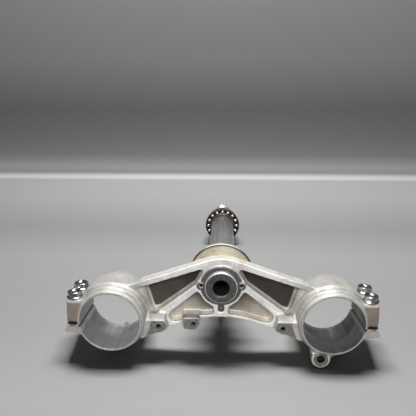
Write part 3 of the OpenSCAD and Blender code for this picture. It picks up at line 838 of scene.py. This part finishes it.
def bolt(name, side, i):
    """A flanged bolt with a dished head, each turned a little differently about its axis."""
    spin = math.radians(12 + 7 * side + 9 * i)
    cs, sn = math.cos(spin), math.sin(spin)

    def place(p):
        px, py = p[0] * cs - p[1] * sn, p[0] * sn + p[1] * cs
        return put((side * (FORK_X + BOLT_X) + px, FORK_Y - EAR_TOP - p[2], BOLT_Z[i] + py))

    corners = [math.radians(a) for a in range(0, 360, 60)]
    hexagon = [(HEX_R * math.cos(a), HEX_R * math.sin(a)) for a in corners]
    chamfer = [(0, -1), (8, -1), (8, 4.6), (6.2, 6.1), (5.6, HEAD_TOP), (0, HEAD_TOP)]
    flange = [(0, 0), (7.2, 0), (7.55, 0.25), (7.6, 0.7), (7.45, 1.15), (6.9, 1.5),
              (6.1, 1.9), (5.7, 2.4), (5.2, 3.0), (0, 3.0)]
    dish = [(0, 4.7), (2.2, 4.75), (3.4, 5.2), (4.3, 6.05), (4.55, 6.8), (0, 6.8)]
    shank = [(0, -BOLT_LEN), (3.1, -BOLT_LEN), (4, -BOLT_LEN + 1), (4, 0.4), (0, 0.4)]
    ob = prism(name, hexagon, 0.8, HEAD_TOP, place)
    for profile, segs, how in ((chamfer, 64, "INTERSECT"), (flange, 72, "UNION"),
                               (dish, 48, "DIFFERENCE"), (shank, 40, "UNION")):
        carve(ob, lathe("tool", profile, place, segs), how)
    modify(ob, "BEVEL", width=0.00028, segments=3, limit_method="ANGLE", angle_limit=math.radians(28))
    slots(ob.data, [CHROME], np.zeros(len(ob.data.polygons), int))
    return crisp(ob, angle=30)


for side, word in ((-1, "left"), (1, "right")):
    for i, end in enumerate(("near", "far")):
        b = bolt(f"pinch_bolt_{word}_{end}", side, i)
        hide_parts(f"bolt_{word}_{end}")
        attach(b, "clamp_and_stem")

dress(SEAL, "dust_seal")
dress(WASHER, "seal_washer")
dress(RACE, "lower_race", "upper_race")
dress(CAGE, "lower_cage", "upper_cage")
dress(BALL, "lower_balls", "upper_balls")
dress(NUT, "adjusting_nut")
dress(PIN, "locating_pin")

# ---------------------------------------------------------------- floor and backdrop
FLOOR, WALL_Y = cad_box[0][2], 0.415                # the floor's height, and the backdrop behind the part
HALF, HIGH, BEND = 4, 1.6, 0.012                    # its half width and height, and the bend at its foot
WALL_RUN, FLOOR_RUN = 0.32, 0.6                     # how far its tones run up, and the floor's to the front


def stage_material():
    """Pale grey floor and backdrop, with the photograph's bands of light and shade."""
    s = Shade("studio_grey", rough=0.75)
    x, y, z = s.node("SeparateXYZ", {0: s.P}).outputs
    # the backdrop: painted light and shade in tones by height, over a painted reflection, a light line along
    # its foot
    h = s.math("DIVIDE", s.math("SUBTRACT", z, FLOOR), WALL_RUN, clamp=True)
    wall = s.ramp(h, [(0.0, 0.70), (0.03, 0.80), (0.045, 0.96), (0.07, 0.98), (0.1, 0.78),
                      (0.14, 0.56), (0.24, 0.44), (0.4, 0.35), (0.65, 0.58), (1, 0.68)])
    line = s.math("MULTIPLY", s.span(h, 0.003, 0.012), s.span(h, 0.036, 0.022))
    line = s.math("MULTIPLY", line, s.span(s.math("ABSOLUTE", x), 0.42, 0.14, 0.8, 1))
    wall = s.mix(line, wall, (0.93, 0.93, 0.93))
    # only what is seen of the backdrop is bright: it throws little light into the shadows
    path = s.node("LightPath").outputs
    seen = s.math("MAXIMUM", path["Is Camera Ray"], path["Is Glossy Ray"])
    wall = s.mix(seen, (0.10, 0.10, 0.10), wall)
    # the floor: painted light and shade in tones by the distance from the backdrop
    near = s.math("DIVIDE", s.math("SUBTRACT", WALL_Y, y), FLOOR_RUN, clamp=True)
    floor = s.ramp(near, [(0.1, 0.50), (0.15, 0.48), (0.3, 0.37), (0.42, 0.46), (0.55, 0.46),
                          (0.66, 0.49), (0.8, 0.59), (1, 0.61)])
    floor = s.times(floor, (0.993, 1.0, 0.99))
    s.to("Base Color", s.mix(s.span(h, 0.0, 0.004), floor, wall))
    # the backdrop is close behind the part, so its back is clear, for the views from there
    back = s.node("NewGeometry").outputs["Backfacing"]
    pick = s.node("MixShader", {0: back, 1: s.bsdf.outputs[0], 2: s.node("BsdfTransparent").outputs[0]})
    s.feed(s.tree.nodes["Material Output"].inputs["Surface"], pick.outputs[0])
    return s


def stage():
    """One sheet: the floor, a tight bend, and the backdrop."""
    pts = [(-HALF, FLOOR)]
    for k in range(9):
        a = math.pi / 2 * k / 8
        pts.append((WALL_Y - BEND + BEND * math.sin(a), FLOOR + BEND * (1 - math.cos(a))))
    pts.append((WALL_Y, FLOOR + HIGH))
    n = len(pts)
    me = bpy.data.meshes.new("studio_sweep")
    verts = [(x, y, z) for x in (HALF, -HALF) for y, z in pts]
    me.from_pydata(verts, [], [(i, i + 1, n + i + 1, n + i) for i in range(n - 1)])
    me.shade_smooth()
    me.materials.append(stage_material().material)
    add("studio_sweep", me)


stage()


# ---------------------------------------------------------------- light
def surround():
    """Dim light all round, brighter at the top for reflections, and a plain grey for the camera."""
    scene.world = bpy.data.worlds.new("studio")
    scene.world.use_nodes = True
    w = Nodes(scene.world.node_tree)
    path = w.node("LightPath").outputs
    rise = w.node("SeparateXYZ", {0: w.node("TexCoord").outputs["Generated"]}).outputs[2]
    shine = w.ramp(rise, [(0.0, 0.30), (0.12, 0.10), (0.45, 0.05), (0.8, 0.22), (1.0, 0.5)])
    light = w.mix(path["Is Glossy Ray"], (0.015, 0.0153, 0.0157), shine)
    light = w.mix(path["Is Camera Ray"], light, (0.27, 0.275, 0.275))
    w.feed(w.tree.nodes["Background"].inputs[0], light)


def softbox(name, power, size, place, aim):
    d = bpy.data.lights.new(name, "AREA")
    d.shape, d.size, d.size_y, d.energy = "RECTANGLE", size[0], size[1], power
    o = add(name, d)
    o.location = place
    o.rotation_euler = (Vector(aim) - Vector(place)).to_track_quat("-Z", "Y").to_euler()
    o.visible_camera = False
    return o


surround()
softbox("top_light", power=12.4, size=(0.5, 0.20), place=(0, 0.36, 0.92), aim=(0, 0.04, 0))
fill = softbox("front_fill", power=13.5, size=(1.2, 0.4), place=(0, -0.78, 0.84), aim=(0, 0, 0))
# the fill is flagged off the floor and backdrop, so that shadows stay deep there
lit = bpy.data.collections.new("lit_by_fill")
for ob in bpy.data.objects:
    if ob.type == "MESH" and ob.name != "studio_sweep":
        lit.objects.link(ob)
fill.light_linking.receiver_collection = lit

scene.view_settings.view_transform = "Standard"
